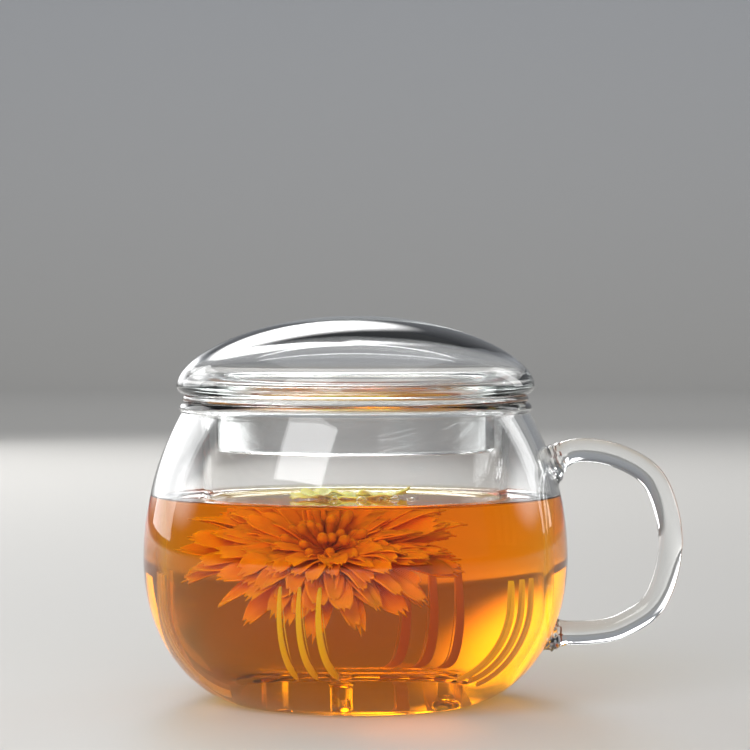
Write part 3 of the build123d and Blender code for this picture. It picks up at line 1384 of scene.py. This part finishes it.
    def build_loose(self, finish: bpy.types.Material) -> bpy.types.Object:
        """Scatters the loose petals that lie on the tea, over the flower.

        Args:
            finish: the petals' material.

        Returns:
            The loose petals, as one piece.
        """
        self.chance.seed(self.seed + 2)
        mesh = bmesh.new()
        mesh.loops.layers.uv.new(PETAL_CHART)
        for i in range(self.loose_count):
            part = bmesh.new()
            part.loops.layers.uv.new(PETAL_CHART)
            self.petal(part, self.loose_whorl, self.chance.uniform(0, FULL_TURN))
            reach = math.sqrt((i + 0.5) / self.loose_count)
            at = Vector(self.loose_centre)
            at.x += self.loose_spread[0] * reach * math.cos(GOLDEN_TURN * i)
            at.y += self.loose_spread[1] * reach * math.sin(GOLDEN_TURN * i)
            bmesh.ops.translate(part, verts=part.verts, vec=at)
            joined(mesh, part)
        loose = finished("flower_loose_petals", mesh)
        loose.data.materials.append(finish)
        thickened(loose, self.petal_thickness)
        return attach(loose, Body.INFUSER.value)

    def build_florets(self, finish: bpy.types.Material) -> bpy.types.Object:
        """Grows the head of florets, each a small club that leans outwards.

        Args:
            finish: the florets' material.

        Returns:
            The florets, as one piece.
        """
        self.chance.seed(self.seed + 1)
        mesh = bmesh.new()
        mesh.loops.layers.uv.new(PETAL_CHART)
        for i in range(self.floret_count):
            share = math.sqrt((i + 0.5) / self.floret_count)
            tip = math.radians(self.floret_lean * share + self.chance.uniform(-7, 7))
            lean = Matrix.Rotation(tip, 4, "Y")
            spin = Matrix.Rotation(GOLDEN_TURN * i, 4, "Z")
            reach = self.floret_length * self.chance.uniform(0.75, 1.15) * (0.8 + 0.3 * share)
            stalk = self.stalk_radius
            knob = self.chance.uniform(0.85, 1.15) * MM
            club = [
                (0, 0), (stalk, 0), (stalk * 0.9, reach * 0.5), (stalk * 1.2, reach * 0.66),
                *arc((0, reach - knob), (knob, knob * 1.25), -35, 125, 6),
            ]
            part = bmesh.new()
            chart = part.loops.layers.uv.new(PETAL_CHART)
            spun(part, [*club[:-1], (0, club[-1][1])], 10)
            for face in part.faces:
                for corner in face.loops:
                    corner[chart].uv = (0.5, min(corner.vert.co.z / reach, 1.0))
            out = Matrix.Translation((0, 0, self.stalk_start))
            bmesh.ops.transform(part, verts=part.verts, matrix=spin @ lean @ out)
            joined(mesh, part)
        self.settle(mesh)
        florets = finished("flower_florets", mesh, crease=80)
        florets.data.materials.append(finish)
        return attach(florets, Body.INFUSER.value)


# --- The studio ---------------------------------------------------------------------------------


@dataclass(frozen=True)
class Softbox:
    """A soft rectangular lamp, aimed at the mug."""

    name: str
    place: tuple[float, float, float]
    width: float
    height: float
    radiance: float
    feathered: bool = False  # whether it fades towards its edge
    mirrored: bool = True  # whether it shows in glass

    def feather(self, lamp: bpy.types.Light) -> None:
        """Fades the lamp from its middle to its edge, as its inner cloth does.

        Args:
            lamp: the lamp.
        """
        lamp.use_nodes = True
        tree = lamp.node_tree
        chart = add_node(tree, "NewGeometry").outputs["Parametric"]
        off = add_node(tree, "VectorMath", {0: chart, 1: (0.5, 0.5, 0.0)}, operation="DISTANCE")
        fade = add_node(tree, "MapRange", {
            "Value": off.outputs["Value"], "From Min": 0.12, "From Max": 0.5,
            "To Min": 1.0, "To Max": 0.0,
        }, interpolation_type="SMOOTHSTEP")
        tree.links.new(fade.outputs["Result"], tree.nodes["Emission"].inputs["Strength"])

    def build(self, target: Vector) -> bpy.types.Object:
        """Sets up the lamp.

        Args:
            target: what it is aimed at.

        Returns:
            The lamp.
        """
        lamp = bpy.data.lights.new(self.name, "AREA")
        lamp.shape = "RECTANGLE"
        lamp.size, lamp.size_y = self.width, self.height
        lamp.energy = self.radiance * math.pi * self.width * self.height
        stand = bpy.data.objects.new(self.name, lamp)
        stand.location = self.place
        stand.rotation_euler = (target - stand.location).to_track_quat("-Z", "Y").to_euler()
        bpy.context.scene.collection.objects.link(stand)
        stand.visible_glossy = stand.visible_transmission = self.mirrored
        if self.feathered:
            self.feather(lamp)
        return stand


@dataclass
class Studio:
    """A pale round sweep for a floor and backdrop, soft lamps, and the camera."""

    floor_drop: float = 0.05 * MM
    sweep_radius: float = 2.9
    sweep_curve: float = 0.7
    sweep_top: float = 2.3
    floor_colour: str = "#bfbdb9"
    wall_low_colour: str = "#bfbfbf"
    wall_middle_colour: str = "#bdc0c5"
    # painted shade: the backdrop's paint darkens towards its top, standing in for the light falling off
    # there
    wall_top_painted_shade_colour: str = "#8e9197"
    world_colour: str = "#d9dde2"
    world_strength: float = 0.30
    open_from: float = -0.9  # there is no wall in front of this, only floor
    open_above: float = 0.02
    mug_middle: tuple[float, float, float] = (0.0, 0.0, 45 * MM)
    glow_middle: tuple[float, float, float] = (0.0, 3.4, 0.30)
    focal_length: float = 135.0
    camera_place: tuple[float, float, float] = (4.6 * MM, -667 * MM, 90 * MM)
    camera_pitch: float = -1.13
    lamps: tuple[Softbox, ...] = (
        Softbox("key_softbox", (-0.50, -0.73, 0.80), 0.55, 0.50, 5.0),
        Softbox("fill_softbox", (-0.15, -0.75, 0.30), 1.60, 0.60, 3.0, mirrored=False),
        Softbox("top_softbox", (0.0, 0.30, 1.55), 1.30, 1.30, 0.6),
        Softbox("back_softbox", (-0.20, 1.20, 0.74), 0.80, 0.56, 13.0, feathered=True),
        Softbox("left_softbox", (-0.92, 0.77, 0.36), 0.60, 0.66, 2.6),
        Softbox("right_softbox", (0.90, 0.66, 0.40), 0.26, 0.70, 2.6),
        Softbox("low_softbox", (-0.62, 1.25, 0.26), 1.00, 0.50, 3.2, feathered=True),
        Softbox("side_right_softbox", (1.05, 0.40, 0.28), 0.70, 0.40, 2.6, feathered=True),
        Softbox("side_left_softbox", (-1.05, 0.40, 0.28), 0.70, 0.40, 3.0, feathered=True),
    )
    backdrop_lamp: Softbox = Softbox("backdrop_softbox", (0.0, 1.6, 2.2), 2.00, 0.50, 7.0)

    def build_sweep(self) -> bpy.types.Object:
        """Hangs the floor and backdrop, whose paint darkens towards the top as painted shade.

        Returns:
            The sweep.
        """
        bend = self.sweep_curve
        curve = arc((self.sweep_radius, bend), (bend, bend), -90, 90, 24)
        line = [(0, 0), (0.3, 0), (1.0, 0), *curve, (self.sweep_radius + bend, self.sweep_top)]
        mesh = bmesh.new()
        spun(mesh, line, 96)
        bmesh.ops.translate(mesh, verts=mesh.verts, vec=(0, 0, -self.floor_drop))
        bmesh.ops.reverse_faces(mesh, faces=[f for f in mesh.faces if f.normal.z < 0])
        middles = {face: face.calc_center_median() for face in mesh.faces}
        front = [face for face, at in middles.items() if at.y < self.open_from and at.z > self.open_above]
        bmesh.ops.delete(mesh, geom=front, context="FACES")
        sweep = finished("studio_sweep", mesh)
        material, tree, output = new_material("painted_sweep")
        place = add_node(tree, "TexCoord").outputs["Object"]
        fleck = add_node(tree, "TexNoise", {"Vector": place, "Scale": 1 / (3 * MM), "Detail": 2.0})
        bump = add_node(tree, "Bump", {"Height": fleck.outputs["Fac"], "Distance": 0.05 * MM})
        height = add_node(tree, "SeparateXYZ", {"Vector": place}).outputs["Z"]
        share = add_node(tree, "MapRange", {
            "Value": height, "From Min": 0.0, "From Max": self.sweep_top,
        })
        # The paint darkens from the wall's middle to its top: painted shade where the light would fall
        # off.
        painted = ramp(tree, share.outputs["Result"], (
            (0.0, self.floor_colour), (0.12, self.wall_low_colour),
            (0.30, self.wall_middle_colour), (1.0, self.wall_top_painted_shade_colour),
        ))
        shader = add_node(tree, "BsdfPrincipled", {
            "Base Color": painted, "Roughness": 0.7, "Normal": bump.outputs["Normal"],
        })
        tree.links.new(shader.outputs["BSDF"], output.inputs["Surface"])
        sweep.data.materials.append(material)
        return sweep

    def build_world(self) -> None:
        """Sets the even light of the room."""
        world = bpy.data.worlds.new("studio_room")
        world.use_nodes = True
        shade = world.node_tree.nodes["Background"]
        shade.inputs["Color"].default_value = colour(self.world_colour)
        shade.inputs["Strength"].default_value = self.world_strength
        bpy.context.scene.world = world

    def build_camera(self) -> bpy.types.Object:
        """Stands the camera in front of the mug.

        Returns:
            The camera.
        """
        data = bpy.data.cameras.new("camera")
        data.lens = self.focal_length
        data.sensor_width = 36.0
        data.clip_start, data.clip_end = 0.02, 50.0
        camera = bpy.data.objects.new("camera", data)
        camera.location = self.camera_place
        camera.rotation_euler = (math.radians(90 + self.camera_pitch), 0, 0)
        bpy.context.scene.collection.objects.link(camera)
        bpy.context.scene.camera = camera
        return camera

    def build_light_paths(self) -> None:
        """Lets light pass through every wall of glass, and sets plain colours."""
        scene = bpy.context.scene
        scene.view_settings.view_transform = "Standard"
        paths = scene.cycles
        paths.max_bounces = 22
        paths.transmission_bounces = 22
        paths.glossy_bounces = 12
        paths.diffuse_bounces = 4
        paths.volume_bounces = 1
        paths.transparent_max_bounces = 32
        paths.sample_clamp_indirect = 12.0
        paths.blur_glossy = 0.1
        paths.use_denoising = True
        paths.denoiser = "OPENIMAGEDENOISE"
        paths.denoising_prefilter = "ACCURATE"
        paths.denoising_input_passes = "RGB_ALBEDO_NORMAL"

    def build(self) -> None:
        """Sets the whole studio up."""
        self.build_sweep()
        self.build_world()
        self.build_camera()
        self.build_light_paths()
        for lamp in self.lamps:
            lamp.build(Vector(self.mug_middle))
        self.backdrop_lamp.build(Vector(self.glow_middle))


# --- Putting it together ------------------------------------------------------------------------


def main() -> None:
    """Builds the mug, what is in it and the studio, in order."""
    logging.basicConfig(level=logging.INFO, format="%(message)s")
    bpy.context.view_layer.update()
    bowl = MugBowl()
    infuser = Infuser(bowl)
    tea = Tea(bowl, infuser)
    clear = BlownGlass("borosilicate_blown").material()
    blown = BlownGlass("borosilicate_blown_bowl", tea_line=tea.line, wet_side=HOLLOW_SIDE).material()
    drawn = BlownGlass("borosilicate_drawn", swell_size=18 * MM, stretch=(1.0, 1.0, 0.15),
                       tea_line=tea.level).material()
    rod = BlownGlass("borosilicate_rod", swell_size=6 * MM, swell_height=0.02 * MM).material()
    ground = GroundGlass().material()
    film = BlownGlass("tea_film", tint="#f3e9c0", swell_height=0.0, index=1.333).material()
    petal = Petal("petal_soaked", "#f98d11", "#ffae29", "#ffba44").material()
    loose = Petal("petal_afloat", "#ffdc48", "#ffee78", "#fff69c").material()
    floret = Petal("floret_soaked", "#b96d08", "#cb8e1d", "#cb9e35").material()
    bowl.build(blown)
    Handle(bowl).build(rod)
    infuser.build(drawn, ground)
    for node in sorted(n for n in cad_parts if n.startswith("infuser_foot")):
        infuser.foot(node, rod)
    Lid().build(clear)
    tea.build(SteepedTea().material())
    Froth(tea.level).build(film)
    flower = Flower()
    for piece in (flower.build_petals(petal), flower.build_florets(floret), flower.build_loose(loose)):
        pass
    Studio().build()


if __name__ == "__main__":
    main()
